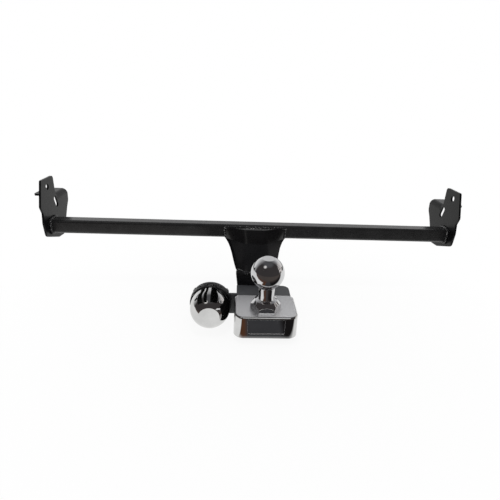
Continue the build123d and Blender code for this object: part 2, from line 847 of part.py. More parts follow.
def spring_self_gap():
    """Least gap between turns of the wire, measured on points of the coil."""
    _, arcs, _ = spring_path()
    steps = 24
    turns = [[arc.edges()[0] @ (step / steps) for step in range(steps + 1)] for arc in arcs]
    pairs = [(one, two) for index, one in enumerate(turns) for two in turns[index + 2:]]
    least = min((a - b).length for one, two in pairs for a in one for b in two)
    return least - spring_wire


# Cable gland
def make_cable_gland():
    """Threaded body in the back wall, with a hexagon and a collar under the cap nut."""
    top = housing_back
    thread = bar(top, top + gland_thread_length, gland_thread_diameter / 2)
    hexagon = hexagon_prism(gland_hexagon, top - gland_hexagon_height, top)
    collar_end = top - gland_hexagon_height - gland_collar_length
    collar = bar(collar_end, top, gland_collar_diameter / 2)
    bore = bar(collar_end, top + gland_thread_length, gland_cable_bore / 2)
    pocket = bar(collar_end, collar_end + gland_seal_length, gland_cable_bore / 2 + gland_seal_wall)
    return thread + hexagon + collar - bore - pocket


def make_gland_seal():
    """Rubber bush between the collar and the cable."""
    end = housing_back - gland_hexagon_height - gland_collar_length
    bore_radius = gland_cable_bore / 2
    return ring_of(bore_radius + gland_seal_wall, bore_radius, end, end + gland_seal_length)


def make_gland_nut():
    """Domed hexagon cap with a hole for the cable."""
    high = housing_back - gland_hexagon_height - gland_nut_gap
    low = high - gland_nut_length
    corner_radius = gland_hexagon / math.sqrt(3)
    barrel = bar(low, high, corner_radius)
    barrel = fillet(barrel.edges().sort_by(Axis.Z)[0], gland_nut_crown)
    nut = hexagon_prism(gland_hexagon, low, high) & barrel
    collar_end = housing_back - gland_hexagon_height - gland_collar_length
    nut -= bar(collar_end, high, gland_collar_diameter / 2)
    return nut - bar(low, high, gland_cable_bore / 2)


# Build every node and write one file for each
def build_parts():
    tube = make_cross_tube()
    plate = make_right_plate()
    plate_weld = make_plate_weld()
    neck = make_neck_channel()
    foot = make_neck_foot()
    tongue = make_tongue()
    bracket = make_socket_bracket()
    return {
        "cross_tube": tube,
        "end_plate_left": mirror_to_left(plate),
        "end_plate_right": plate,
        "neck_channel": neck,
        "neck_foot": foot,
        "tongue_plate": tongue,
        "socket_bracket": bracket,
        "weld_left_plate": mirror_to_left(plate_weld),
        "weld_right_plate": plate_weld,
        "weld_neck_tube": make_neck_tube_weld(neck, tube),
        "weld_neck_foot": make_neck_foot_weld(neck, foot),
        "weld_foot_tongue": make_foot_tongue_weld(foot, tongue),
        "weld_bracket": make_bracket_weld(bracket, tongue),
        "tongue_cover": make_cover(),
        "tow_ball": make_tow_ball(),
        "ball_lock_washer": make_lock_washer(),
        "ball_nut": make_ball_nut(),
        "socket_housing": in_socket(make_socket_housing()),
        "socket_gasket": in_socket(make_socket_gasket()),
        "contact_base": in_socket(make_contact_base()),
        "contact_core": in_socket(make_contact_core()),
        "contact_sleeves": [in_socket(sleeve) for sleeve in make_contact_sleeves()],
        "socket_screws": [in_socket(screw) for screw in make_socket_screws()],
        "socket_washers": [in_socket(washer) for washer in make_socket_washers()],
        "socket_nuts": [in_socket(nut) for nut in make_socket_nuts()],
        "socket_lid": in_socket(make_socket_lid()),
        "lid_dome": in_socket(make_lid_dome()),
        "lid_seal": in_socket(make_lid_seal()),
        "lid_hinge_pin": in_socket(make_hinge_pin()),
        "lid_spring": in_socket(make_lid_spring()),
        "cable_gland": in_socket(make_cable_gland()),
        "gland_seal": in_socket(make_gland_seal()),
        "gland_nut": in_socket(make_gland_nut()),
    }


def as_compound(piece):
    """Solids of a node, gathered in one compound."""
    shapes = piece if isinstance(piece, list) else [piece]
    return Compound(children=[solid for shape in shapes for solid in shape.solids()])


os.makedirs("parts", exist_ok=True)
parts = build_parts()
for name, piece in parts.items():
    export_step(as_compound(piece), f"parts/{name}.step")
print("nodes", len(parts), "least gap between the spring's turns", round(spring_self_gap(), 2), "mm")
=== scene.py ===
# %% [markdown]
# A bolt-on tow bar, dressed in Blender
#
# The steel, plastic and rubber pieces come in from the CAD model at their real sizes. This file
# adds what a drawing leaves out: chrome that mirrors cleanly, weld beads with their ripples, a cut
# thread, black paint with its slight waviness, a floor, lights and the photographer's camera. Every
# object is in metres, and the centre of the tow ball is at the origin.

# %% Load the model
import bpy
import math
from mathutils import Matrix, Vector


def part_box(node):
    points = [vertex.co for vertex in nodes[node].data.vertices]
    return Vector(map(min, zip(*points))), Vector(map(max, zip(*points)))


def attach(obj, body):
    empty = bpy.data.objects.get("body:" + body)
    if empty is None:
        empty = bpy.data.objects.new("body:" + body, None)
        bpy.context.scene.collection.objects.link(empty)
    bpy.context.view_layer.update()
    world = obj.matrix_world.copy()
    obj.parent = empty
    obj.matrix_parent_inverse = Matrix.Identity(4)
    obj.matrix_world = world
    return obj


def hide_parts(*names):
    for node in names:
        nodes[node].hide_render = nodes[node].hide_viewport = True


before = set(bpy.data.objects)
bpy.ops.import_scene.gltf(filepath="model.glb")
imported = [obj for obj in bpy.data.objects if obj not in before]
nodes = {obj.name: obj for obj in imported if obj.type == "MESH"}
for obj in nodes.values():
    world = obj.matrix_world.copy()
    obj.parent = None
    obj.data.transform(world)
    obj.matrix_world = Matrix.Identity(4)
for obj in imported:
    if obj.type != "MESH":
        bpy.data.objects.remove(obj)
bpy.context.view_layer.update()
print("pieces from the CAD model:", len(nodes))

# %% [markdown]
# Lengths are easiest to read in millimetres, because the drawing uses them. Blender wants metres,
# so one small helper turns the one into the other.

# %% Millimetres
def mm(*values):
    """Millimetres to metres, one value or several."""
    metres = tuple(value / 1000 for value in values)
    return metres[0] if len(metres) == 1 else metres


socket_centre = Vector(mm(-86, 40, -72.5))
print("the socket's axis passes through", tuple(round(v, 4) for v in socket_centre))


# %% [markdown]
# The photographer stood a little left of the ball, half a metre in front of it and a quarter of a
# metre above, and looked down by about 23 degrees. A camera in Blender looks along its own minus Z,
# so its matrix has three columns: to the right, up, and backwards.

# %% Camera
camera_place = mm(-52.0, -495.0, 249.7)
sensor_width, lens_length = 36, 27.21


def make_camera():
    """The photographer's camera, which the scene renders through."""
    right = Vector((0.99871, -0.03231, 0.03909))
    down = Vector((0.02305, -0.39743, -0.91733))
    forward = Vector((0.04517, 0.91706, -0.39618))
    data = bpy.data.cameras.new("camera")
    data.sensor_width = sensor_width
    data.lens = lens_length
    data.clip_start = 0.01
    camera = bpy.data.objects.new("camera", data)
    bpy.context.scene.collection.objects.link(camera)
    turn = Matrix((right, -down, -forward)).transposed()
    camera.matrix_world = Matrix.Translation(camera_place) @ turn.to_4x4()
    bpy.context.scene.camera = camera
    return camera


camera = make_camera()
print("camera stands at", tuple(round(v, 3) for v in camera.matrix_world.translation))


# %% [markdown]
# A material is a small graph of shader nodes. The helpers below add a node, join two sockets, and
# make the noise that nearly every finish needs. Noise reads Object coordinates, which are metres
# here, so a scale of 500 gives spots about two millimetres across.

# %% Helpers for materials
def new_material(name):
    """An empty node graph that ends in one Principled shader."""
    material = bpy.data.materials.new(name)
    material.use_nodes = True
    graph = material.node_tree
    graph.nodes.clear()
    output = graph.nodes.new("ShaderNodeOutputMaterial")
    shader = graph.nodes.new("ShaderNodeBsdfPrincipled")
    graph.links.new(shader.outputs["BSDF"], output.inputs["Surface"])
    return material, graph, shader


def add(graph, kind, **settings):
    """A node with some of its settings or input values set by name."""
    node = graph.nodes.new(kind)
    for key, value in settings.items():
        if hasattr(node, key):
            setattr(node, key, value)
        else:
            node.inputs[key.replace("_", " ")].default_value = value
    return node


def noise(graph, scale, detail=4.0, roughness=0.55):
    """Noise on the piece's own coordinates, from 0 to 1."""
    place = add(graph, "ShaderNodeTexCoord")
    texture = add(graph, "ShaderNodeTexNoise", Scale=scale, Detail=detail, Roughness=roughness)
    graph.links.new(place.outputs["Object"], texture.inputs["Vector"])
    return texture.outputs["Fac"]


def spread(graph, socket, low, high, out_low, out_high):
    """Stretches part of a value's range over another range."""
    node = add(graph, "ShaderNodeMapRange")
    limits = {"From Min": low, "From Max": high, "To Min": out_low, "To Max": out_high}
    for name, value in limits.items():
        node.inputs[name].default_value = value
    graph.links.new(socket, node.inputs["Value"])
    return node.outputs["Result"]


def mix_colour(graph, share, first, second):
    """Blends two colours by a share, which is a socket."""
    node = add(graph, "ShaderNodeMix", data_type="RGBA")
    for socket, colour in ((node.inputs[6], first), (node.inputs[7], second)):
        if isinstance(colour, tuple):
            socket.default_value = (*colour, 1)
        else:
            graph.links.new(colour, socket)
    graph.links.new(share, node.inputs[0])
    return node.outputs[2]


print("material helpers are ready")


# %% [markdown]
# Real edges are never knife sharp, and a thin bright line along them is what makes painted steel
# look like steel. The Bevel node bends the shading normal near an edge without touching the mesh.
# Where that bent normal leaves the true one, there is an edge, and the same difference serves as a
# mask for worn paint.

# %% Rounded and worn edges
def rounded_normal(graph, radius, grain, depth):
    """A shading normal with soft edges and a fine grain on top."""
    bevel = add(graph, "ShaderNodeBevel", Radius=radius)
    bump = add(graph, "ShaderNodeBump", Strength=1.0, Distance=depth)
    graph.links.new(grain, bump.inputs["Height"])
    graph.links.new(bevel.outputs["Normal"], bump.inputs["Normal"])
    return bump.outputs["Normal"], bevel.outputs["Normal"]


flat_above, edge_below = 0.98, 0.8
wear_scale = 260.0


def edge_mask(graph, bent, amount):
    """1 on an edge and 0 on a flat, broken up by noise."""
    geometry = add(graph, "ShaderNodeNewGeometry")
    dot = add(graph, "ShaderNodeVectorMath", operation="DOT_PRODUCT")
    graph.links.new(geometry.outputs["Normal"], dot.inputs[0])
    graph.links.new(bent, dot.inputs[1])
    edge = spread(graph, dot.outputs["Value"], flat_above, edge_below, 0.0, 1.0)
    broken = spread(graph, noise(graph, wear_scale), 0.42, 0.62, 0.0, amount)
    product = add(graph, "ShaderNodeMath", operation="MULTIPLY")
    graph.links.new(edge, product.inputs[0])
    graph.links.new(broken, product.inputs[1])
    return product.outputs["Value"]


print("edge helpers are ready")


# %% [markdown]
# All finishes here follow one recipe: two shades of the base colour blended by broad noise, a
# roughness that wanders, a fine bump, and edges that are a little worn. Only the numbers differ, so
# one function makes them all. Metalness is 1 for metals and 0 for paint, plastic and rubber. The
# paint on the beads has small spots of bright metal, painted glints, which a second function adds.

# %% The recipe for a finish
def finish(name, dark, light, rough, metal=0.0, grain=900.0, depth=0.00001, bevel=0.0004,
           worn=(0.2, 0.2, 0.2), wear=0.0, patch=45.0, specular=0.5):
    """A finish by its two shades, its roughness from and to, and the scales of its noises."""
    material, graph, shader = new_material(name)
    broad = spread(graph, noise(graph, patch), 0.35, 0.65, 0.0, 1.0)
    colour = mix_colour(graph, broad, dark, light)
    normal, bent = rounded_normal(graph, bevel, noise(graph, grain, detail=2.0), depth)
    if wear > 0:
        colour = mix_colour(graph, edge_mask(graph, bent, wear), colour, worn)
    graph.links.new(colour, shader.inputs["Base Color"])
    roughness = spread(graph, noise(graph, patch * 3), 0.3, 0.7, *rough)
    graph.links.new(roughness, shader.inputs["Roughness"])
    graph.links.new(normal, shader.inputs["Normal"])
    shader.inputs["Metallic"].default_value = metal
    shader.inputs["Specular IOR Level"].default_value = specular
    return material


deep_black, soft_black = (0.003, 0.003, 0.0035), (0.0045, 0.0045, 0.005)
worn_black = (0.04, 0.04, 0.04)
black_paint = finish("black_paint", deep_black, soft_black, (0.2, 0.28), grain=420.0,
                     depth=0.000006, worn=worn_black, wear=0.5)
plate_paint = finish("plate_paint", deep_black, soft_black, (0.26, 0.34), grain=420.0,
                     depth=0.000006, worn=worn_black, wear=0.5, specular=0.17)
tube_paint = finish("tube_paint", (0.012, 0.012, 0.0125), (0.017, 0.017, 0.0175), (0.2, 0.3),
                    grain=420.0, depth=0.000006, worn=(0.05, 0.05, 0.05), wear=0.5)
satin_paint = finish("satin_paint", (0.05, 0.052, 0.055), (0.06, 0.062, 0.066), (0.42, 0.52),
                     grain=700.0, depth=0.00003, worn=(0.09, 0.09, 0.09), wear=0.5)
weld_paint = finish("weld_paint", (0.005, 0.005, 0.006), (0.012, 0.012, 0.013), (0.12, 0.26),
                    grain=1500.0, depth=0.00008, worn=(0.05, 0.05, 0.05), wear=0.3)


# Bright metal for the spots on the weld beads, which are painted glints.
glint_metal = (0.62, 0.62, 0.62)


def glint_specks(material, scale, share):
    """Small spots of bright metal on the ripples of a weld: painted glints."""
    graph = material.node_tree
    shader = next(node for node in graph.nodes if node.type == "BSDF_PRINCIPLED")
    tint = shader.inputs["Base Color"].links[0].from_socket
    spot = spread(graph, noise(graph, scale, detail=2.0), 1 - share, 1.02 - share, 0.0, 0.9)
    graph.links.new(mix_colour(graph, spot, tint, glint_metal), shader.inputs["Base Color"])
    graph.links.new(spot, shader.inputs["Metallic"])


# The spots on the beads are painted glints.
glint_scale, glint_share = 420.0, 0.38
glint_specks(weld_paint, glint_scale, glint_share)
print("paints:", len(bpy.data.materials))

# %% [markdown]
# Chrome is nearly all mirror: a bright grey base, full metalness and a roughness close to zero. The
# chrome of the moulded cover and dome is a little wavier than that of the forged ball. The bolts
# and springs are zinc plated, which is duller and more uneven.

# %% Chrome, zinc, plastic, rubber and brass
ball_chrome = finish("ball_chrome", (0.60, 0.60, 0.61), (0.68, 0.68, 0.69), (0.05, 0.1), metal=1.0,
                     grain=1200.0, depth=0.000002)
dark_chrome, light_chrome = (0.60, 0.60, 0.60), (0.68, 0.68, 0.68)
dome_chrome = finish("dome_chrome", dark_chrome, light_chrome, (0.04, 0.09), metal=1.0,
                     grain=160.0, depth=0.000008, bevel=0.0003)
cover_chrome = finish("cover_chrome", dark_chrome, light_chrome, (0.04, 0.09), metal=1.0,
                      grain=160.0, depth=0.000008, bevel=0.0003)
zinc_plate = finish("zinc_plate", (0.42, 0.43, 0.43), (0.58, 0.58, 0.56), (0.25, 0.42), metal=1.0,
                    grain=1800.0, depth=0.000015, worn=(0.7, 0.7, 0.68), wear=0.6)
moulded_black = finish("moulded_black", (0.014, 0.014, 0.015), (0.022, 0.022, 0.023), (0.34, 0.48),
                       grain=2600.0, depth=0.00003, worn=(0.06, 0.06, 0.06), wear=0.4)
seal_rubber = finish("seal_rubber", (0.016, 0.016, 0.016), (0.028, 0.028, 0.027), (0.6, 0.78),
                     grain=1500.0, depth=0.00003)
brass = finish("contact_brass", (0.62, 0.42, 0.16), (0.74, 0.54, 0.26), (0.2, 0.34), metal=1.0,
               grain=1800.0, depth=0.000008)
print("finishes:", len(bpy.data.materials))

# %% [markdown]
# The cover's flat top is satin with a painted highlight, while its sides are mirrors. One material
# does both: where a face looks up, it is rougher and its base colour is lighter, a painted
# highlight.

# %% Satin top of the cover, with a painted highlight
# The lighter colour for the cover's top is a painted highlight.
satin_rough, top_highlight_colour = 0.42, (0.95, 0.95, 0.96)


def satin_and_highlight_top(material, rough, colour):
    """Makes the faces of a material that look up rougher, and lighter as a painted highlight."""
    graph = material.node_tree
    shader = next(node for node in graph.nodes if node.type == "BSDF_PRINCIPLED")
    geometry = add(graph, "ShaderNodeNewGeometry")
    split = add(graph, "ShaderNodeSeparateXYZ")
    graph.links.new(geometry.outputs["Normal"], split.inputs[0])
    up = spread(graph, split.outputs["Z"], 0.94, 0.99, 0.0, 1.0)
    tint = shader.inputs["Base Color"].links[0].from_socket
    # Faces that look up get the lighter colour, a painted highlight.
    graph.links.new(mix_colour(graph, up, tint, colour), shader.inputs["Base Color"])
    mirror = shader.inputs["Roughness"].links[0].from_socket
    blend = add(graph, "ShaderNodeMix")
    blend.inputs[3].default_value = rough
    graph.links.new(up, blend.inputs[0])
    graph.links.new(mirror, blend.inputs[2])
    graph.links.new(blend.outputs[0], shader.inputs["Roughness"])


satin_and_highlight_top(cover_chrome, satin_rough, top_highlight_colour)
print("the cover's top is satin")

# %% [markdown]
# The CAD pieces keep their shapes and only change their finish.

# %% Finishes on the CAD pieces
finishes = {
    black_paint: ["neck_channel", "neck_foot"],
    plate_paint: ["end_plate_left", "end_plate_right"],
    tube_paint: ["cross_tube"],
    satin_paint: ["tongue_plate", "socket_bracket"],
    weld_paint: ["weld_left_plate", "weld_right_plate", "weld_neck_tube", "weld_neck_foot",
                 "weld_foot_tongue", "weld_bracket"],
    ball_chrome: ["tow_ball"],
    cover_chrome: ["tongue_cover"],
    dome_chrome: ["lid_dome"],
    zinc_plate: ["ball_lock_washer", "ball_nut", "socket_screws", "socket_washers", "socket_nuts",
                 "lid_hinge_pin", "lid_spring"],
    moulded_black: ["socket_housing", "contact_base", "contact_core", "socket_lid", "cable_gland",
                    "gland_nut"],
    seal_rubber: ["socket_gasket", "lid_seal", "gland_seal"],
    brass: ["contact_sleeves"],
}
for material, names in finishes.items():
    for name in names:
        slots = nodes[name].data.materials
        slots.clear()
        slots.append(material)
print("dressed", sum(len(names) for names in finishes.values()), "of", len(nodes), "CAD pieces")


# %% [markdown]
# The next steps use Geometry Nodes. A tree is a recipe that Blender runs on an object: it has named
# inputs, such as a spacing or a radius, and it puts out a mesh. These helpers make a tree, run it
# once, and keep the plain mesh that it gives, which then rides on a body of the model like any
# other piece.

# %% Helpers for node trees
def new_tree(name, **inputs):
    """A node tree whose inputs are (socket type, default) by name."""
    tree = bpy.data.node_groups.new(name, "GeometryNodeTree")
    for key, (kind, value) in inputs.items():
        socket = tree.interface.new_socket(key.replace("_", " "), in_out="INPUT", socket_type=kind)
        if value is not None:
            socket.default_value = value
    tree.interface.new_socket("Geometry", in_out="OUTPUT", socket_type="NodeSocketGeometry")
    return tree, tree.nodes.new("NodeGroupInput")


def join(tree, *pairs):
    """Joins an output to an input, for each pair of them."""
    for start, end in pairs:
        tree.links.new(start, end)


def close_tree(tree, start, geometry):
    """Realizes the instances, sets the material and ends the tree."""
    realize = tree.nodes.new("GeometryNodeRealizeInstances")
    paint = tree.nodes.new("GeometryNodeSetMaterial")
    output = tree.nodes.new("NodeGroupOutput")
    join(tree,
         (geometry, realize.inputs[0]),
         (realize.outputs[0], paint.inputs["Geometry"]),
         (start.outputs["Material"], paint.inputs["Material"]),
         (paint.outputs[0], output.inputs[0]))


def run_tree(tree, name, body, slot, **values):
    """Runs a tree with the given inputs and returns its plain mesh, which rides on a body."""
    holder = bpy.data.objects.new(name + "_recipe", bpy.data.meshes.new(name + "_recipe"))
    bpy.context.scene.collection.objects.link(holder)
    modifier = holder.modifiers.new("tree", "NODES")
    modifier.node_group = tree
    items = tree.interface.items_tree
    sockets = {item.name: item.identifier for item in items if item.in_out == "INPUT"}
    for key, value in values.items():
        modifier[sockets[key.replace("_", " ")]] = value
    holder.update_tag()
    bpy.context.view_layer.update()
    evaluated = holder.evaluated_get(bpy.context.evaluated_depsgraph_get())
    mesh = bpy.data.meshes.new_from_object(evaluated)
    bpy.data.objects.remove(holder)
    piece = bpy.data.objects.new(name, mesh)
    mesh.name = name
    bpy.context.scene.collection.objects.link(piece)
    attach(piece, body)
    print(f"{name}: {len(mesh.vertices)} points, {len(mesh.polygons)} faces")
    return piece


def guide_line(name, points, closed=False):
    """A thin line of points that a tree can follow. It is removed when the scene is finished."""
    edges = [(index, index + 1) for index in range(len(points) - 1)]
    if closed:
        edges.append((len(points) - 1, 0))
    mesh = bpy.data.meshes.new(name)
    mesh.from_pydata(points, edges, [])
    line = bpy.data.objects.new(name, mesh)
    bpy.context.scene.collection.objects.link(line)
    return line


print("tree helpers are ready")


# %% [markdown]
# The ball and the lid's dome are turned shapes: one outline, swept round an axis. A mirror finish
# shows every facet, so both are made again with many steps. In the tree, a flat grid is rolled up.
# One side of the grid counts the points of the outline, the other side counts the steps of the
# turn. The ball's hexagon is the same sweep with the radius held inside six flats, which also cuts
# the curved chamfers at its corners.

# %% The turned-part tree
same_point = 0.000002


def make_turned_tree():
    """Sweeps an outline round the Z axis, with six flats below a given height."""
    tree, start = new_tree(
        "turned_part",
        Outline=("NodeSocketObject", None),
        Outline_Points=("NodeSocketInt", 10),
        Turn_Steps=("NodeSocketInt", 96),
        Across_Flats=("NodeSocketFloat", 1.0),
        Flats_Below=("NodeSocketFloat", -1.0),
        Material=("NodeSocketMaterial", None),
    )
    new = tree.nodes.new

    def maths(operation, first, second=None):
        node = new("ShaderNodeMath")
        node.operation = operation
        for socket, value in zip(node.inputs, (first, second)):
            if isinstance(value, (int, float)):
                socket.default_value = value
            elif value is not None:
                tree.links.new(value, socket)
        return node.outputs[0]

    line = new("GeometryNodeObjectInfo")
    grid = new("GeometryNodeMeshGrid")
    index = new("GeometryNodeInputIndex").outputs[0]
    count = start.outputs["Outline Points"]
    steps = start.outputs["Turn Steps"]
    join(tree,
         (start.outputs["Outline"], line.inputs["Object"]),
         (count, grid.inputs["Vertices Y"]),
         (maths("ADD", steps, 1), grid.inputs["Vertices X"]))
    row = maths("MODULO", index, count)
    column = maths("FLOOR", maths("DIVIDE", index, count))
    sample = new("GeometryNodeSampleIndex")
    sample.data_type = "FLOAT_VECTOR"
    position = new("GeometryNodeInputPosition")
    split = new("ShaderNodeSeparateXYZ")
    join(tree,
         (line.outputs["Geometry"], sample.inputs["Geometry"]),
         (row, sample.inputs["Index"]),
         (position.outputs[0], sample.inputs["Value"]),
         (sample.outputs["Value"], split.inputs[0]))
    radius, height = split.outputs["X"], split.outputs["Z"]
    sixth = math.pi / 3
    angle = maths("MULTIPLY", maths("DIVIDE", column, steps), 6 * sixth)
    off_flat = maths("SUBTRACT", maths("MODULO", angle, sixth), sixth / 2)
    half_width = maths("MULTIPLY", start.outputs["Across Flats"], 0.5)
    limit = maths("DIVIDE", half_width, maths("COSINE", off_flat))
    below = maths("LESS_THAN", height, start.outputs["Flats Below"])
    held = maths("MULTIPLY", maths("MINIMUM", radius, limit), below)
    free = maths("MULTIPLY", radius, maths("SUBTRACT", 1, below))
    final = maths("ADD", held, free)
    place = new("ShaderNodeCombineXYZ")
    move = new("GeometryNodeSetPosition")
    weld = new("GeometryNodeMergeByDistance")
    join(tree,
         (maths("MULTIPLY", final, maths("COSINE", angle)), place.inputs["X"]),
         (maths("MULTIPLY", final, maths("SINE", angle)), place.inputs["Y"]),
         (height, place.inputs["Z"]),
         (grid.outputs["Mesh"], move.inputs["Geometry"]),
         (place.outputs[0], move.inputs["Position"]),
         (move.outputs[0], weld.inputs["Geometry"]))
    weld.inputs["Distance"].default_value = same_point
    close_tree(tree, start, weld.outputs[0])
    return tree


turned_tree = make_turned_tree()
print("turned-part tree:", len(turned_tree.nodes), "nodes")


# %% [markdown]
# Outlines are lists of (radius, height) in millimetres. Arcs are divided finely, and every straight
# run gets its own points, so that corners stay exactly where the drawing has them.

# %% Outlines
def arc(centre_r, centre_z, radius, start, end, steps):
    """Points of an arc from one angle to another, in degrees."""
    points = []
    for step in range(steps + 1):
        turn = math.radians(start + (end - start) * step / steps)
        points.append((centre_r + radius * math.cos(turn), centre_z + radius * math.sin(turn)))
    return points


def run(start, end, steps):
    """Points of a straight run, without its last one."""
    return [tuple(a + (b - a) * step / steps for a, b in zip(start, end)) for step in range(steps)]


def smooth_by_angle(piece, degrees):
    """Smooth shading everywhere except over edges sharper than an angle."""
    mesh = piece.data
    mesh.shade_smooth()
    mesh.set_sharp_from_angle(angle=math.radians(degrees))
    return piece


def volume_of(piece):
    """Signed volume, which is positive when the faces point outwards."""
    total = 0.0
    for face in piece.data.polygons:
        corners = [piece.data.vertices[index].co for index in face.vertices]
        for second, third in zip(corners[1:], corners[2:]):
            total += corners[0].dot(second.cross(third)) / 6
    return total


def turned_part(name, outline, material, body, slot, steps, place=None, flats=1000.0,
                flats_below=-1000.0, sharp=25.0):
    """A turned piece from its outline, set in place and checked for the way its faces point."""
    line = guide_line(name + "_outline", [(mm(r), 0, mm(z)) for r, z in outline])
    piece = run_tree(turned_tree, name, body, slot, Outline=line, Outline_Points=len(outline),
                     Turn_Steps=steps, Across_Flats=mm(flats), Flats_Below=mm(flats_below),
                     Material=material)
    bpy.data.objects.remove(line)
    if place is not None:
        piece.data.transform(place)
    if volume_of(piece) < 0:
        piece.data.flip_normals()
    return smooth_by_angle(piece, sharp)


print("outline helpers are ready")


# %% [markdown]
# The tow ball is one forging: a 50 mm ball with a flat top, a neck with a small fillet, a low
# collar, a 41 mm hexagon with steep chamfers, and the threaded shank below. The outline starts at
# the flat and runs down the outside.

# %% Tow ball
ball_radius, flat_z = 25.0, 23.1
neck, neck_fillet = 12.25, 3.0
flare_z, flare_fillet = -41.9, 0.6
collar_top, collar_side = (13.4, -42.66), (16.4, -44.1)
collar_edge, collar_rounding = (16.2, -44.85), 0.8
across_flats, flats_start_z, chamfer_start = 41.0, -46.0, (17.2, -44.75)
corner, corner_z, hexagon_end_z, end_chamfer = 23.67, -53.0, -59.6, 0.4
boss, boss_end_z = 15.0, -62.2
shank, thread_core, nut_end_z = 10.0, 9.1, -94.2
shank_end_z, shank_chamfer = -98.2, 1.1


def ball_outline():
    """Outline from the middle of the flat, down the outside, to the middle of the shank's end."""
    flat_angle = math.degrees(math.asin(flat_z / ball_radius))
    out = ball_radius + neck_fillet
    drop = math.sqrt(out ** 2 - (neck + neck_fillet) ** 2)
    seam_angle = math.degrees(math.atan2(-drop, neck + neck_fillet))
    points = run((0, flat_z), (ball_radius * math.cos(math.radians(flat_angle)), flat_z), 3)
    points += arc(0, 0, ball_radius, flat_angle, seam_angle, 72)
    points += arc(neck + neck_fillet, -drop, neck_fillet, 180 + seam_angle, 180, 10)[1:]
    points += run((neck, -drop - 1), (neck, flare_z), 3)
    points += arc(neck + flare_fillet, flare_z, flare_fillet, 180, 270, 5)
    points += run(collar_top, collar_side, 4)
    points += arc(*collar_edge, collar_rounding, 65, 30, 5)
    points += run(chamfer_start, (corner, corner_z), 34)
    points += run((corner, corner_z), (corner, hexagon_end_z + end_chamfer), 3)
    points += [(corner, hexagon_end_z + end_chamfer), (corner - end_chamfer, hexagon_end_z)]
    points += [(boss, hexagon_end_z), (boss, boss_end_z), (shank, boss_end_z), (shank, nut_end_z)]
    points += [(thread_core, nut_end_z), (thread_core, shank_end_z + shank_chamfer)]
    return points + [(thread_core - shank_chamfer, shank_end_z), (0, shank_end_z)]


tow_ball = turned_part("tow_ball_polished", ball_outline(), ball_chrome, "tow_bar", "chromed_steel",
                       144, flats=across_flats, flats_below=flats_start_z, sharp=22.0)
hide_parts("tow_ball")
low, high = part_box("tow_ball")
print("CAD ball from", round(low.z, 4), "to", round(high.z, 4))


# %% [markdown]
# The lid's dome is a thin shell: a straight skirt, a round shoulder and a flat round face, which is
# bare here. Its outline runs up the outside and back down the inside. A corner that is to shine
# needs a small rounding with points of its own. The socket's own axis points forward, so the
# finished shell is laid over by a quarter turn.

# %% Lid dome
axis_to_front = Matrix(((1, 0, 0), (0, 0, -1), (0, 1, 0)))
socket_turn = Matrix.Translation(socket_centre) @ axis_to_front.to_4x4()
dome_radius, dome_height, dome_wall = 31.25, 37.5, 2.0
dome_back, dome_skirt = 12.3, 11.0
face_radius, inner_face_radius = 16.5, 15.3
lip_rounding, face_rounding = 0.4, 1.2


def dome_side(radius, flat_radius, height, steps):
    """Outline from the skirt up over the shoulder to the rounded edge of the flat face."""
    rise, width = height - dome_skirt, radius - flat_radius
    shoulder = (rise ** 2 + width ** 2) / (2 * width)
    centre = radius - shoulder
    lower = rise - face_rounding
    edge = centre + math.sqrt((shoulder - face_rounding) ** 2 - lower ** 2)
    turn = math.degrees(math.atan2(lower, edge - centre))
    points = run((radius, dome_back + lip_rounding), (radius, dome_back + dome_skirt), 4)
    points += arc(centre, dome_back + dome_skirt, shoulder, 0, turn, steps)
    points += arc(edge, dome_back + height - face_rounding, face_rounding, turn, 90, 5)[1:]
    return points + [(edge - 0.5, dome_back + height), (edge / 2, dome_back + height)]


outer = dome_side(dome_radius, face_radius, dome_height, 36)
inner = dome_side(dome_radius - dome_wall, inner_face_radius, dome_height - dome_wall, 16)
lip = arc(dome_radius - lip_rounding, dome_back + lip_rounding, lip_rounding, -90, 0, 5)
inner_edge = (dome_radius - dome_wall, dome_back)
dome_outline = [inner_edge] + lip[:-1] + outer + [(0.0, outer[-1][1]), (0.0, inner[-1][1])]
dome_outline += inner[::-1] + [inner_edge]
dome = turned_part("lid_dome_polished", dome_outline, dome_chrome, "lid", "chromed_cover", 128,
                   place=socket_turn, sharp=40.0)
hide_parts("lid_dome")
print("dome volume", round(volume_of(dome) * 1e6, 2), "cubic centimetres")


# %% [markdown]
# The shank's thread shows below its nut, where the rod is cut back to its core. The tree winds a
# triangular ridge round a rod: a curve spiral gives the line and a three-sided circle gives the
# ridge.

# %% The thread tree
def make_thread_tree():
    """Winds a triangular ridge into a spiral."""
    tree, start = new_tree(
        "thread",
        Turns=("NodeSocketFloat", 2.0),
        Radius=("NodeSocketFloat", 0.01),
        Length=("NodeSocketFloat", 0.005),
        Ridge=("NodeSocketFloat", 0.0006),
        Material=("NodeSocketMaterial", None),
    )
    new = tree.nodes.new
    spiral = new("GeometryNodeCurveSpiral")
    spiral.inputs["Resolution"].default_value = 48
    ridge = new("GeometryNodeCurvePrimitiveCircle")
    ridge.inputs["Resolution"].default_value = 3
    sweep = new("GeometryNodeCurveToMesh")
    sweep.inputs["Fill Caps"].default_value = True
    join(tree,
         (start.outputs["Turns"], spiral.inputs["Rotations"]),
         (start.outputs["Radius"], spiral.inputs["Start Radius"]),
         (start.outputs["Radius"], spiral.inputs["End Radius"]),
         (start.outputs["Length"], spiral.inputs["Height"]),
         (start.outputs["Ridge"], ridge.inputs["Radius"]),
         (spiral.outputs[0], sweep.inputs["Curve"]),
         (ridge.outputs[0], sweep.inputs["Profile Curve"]))
    close_tree(tree, start, sweep.outputs[0])
    return tree


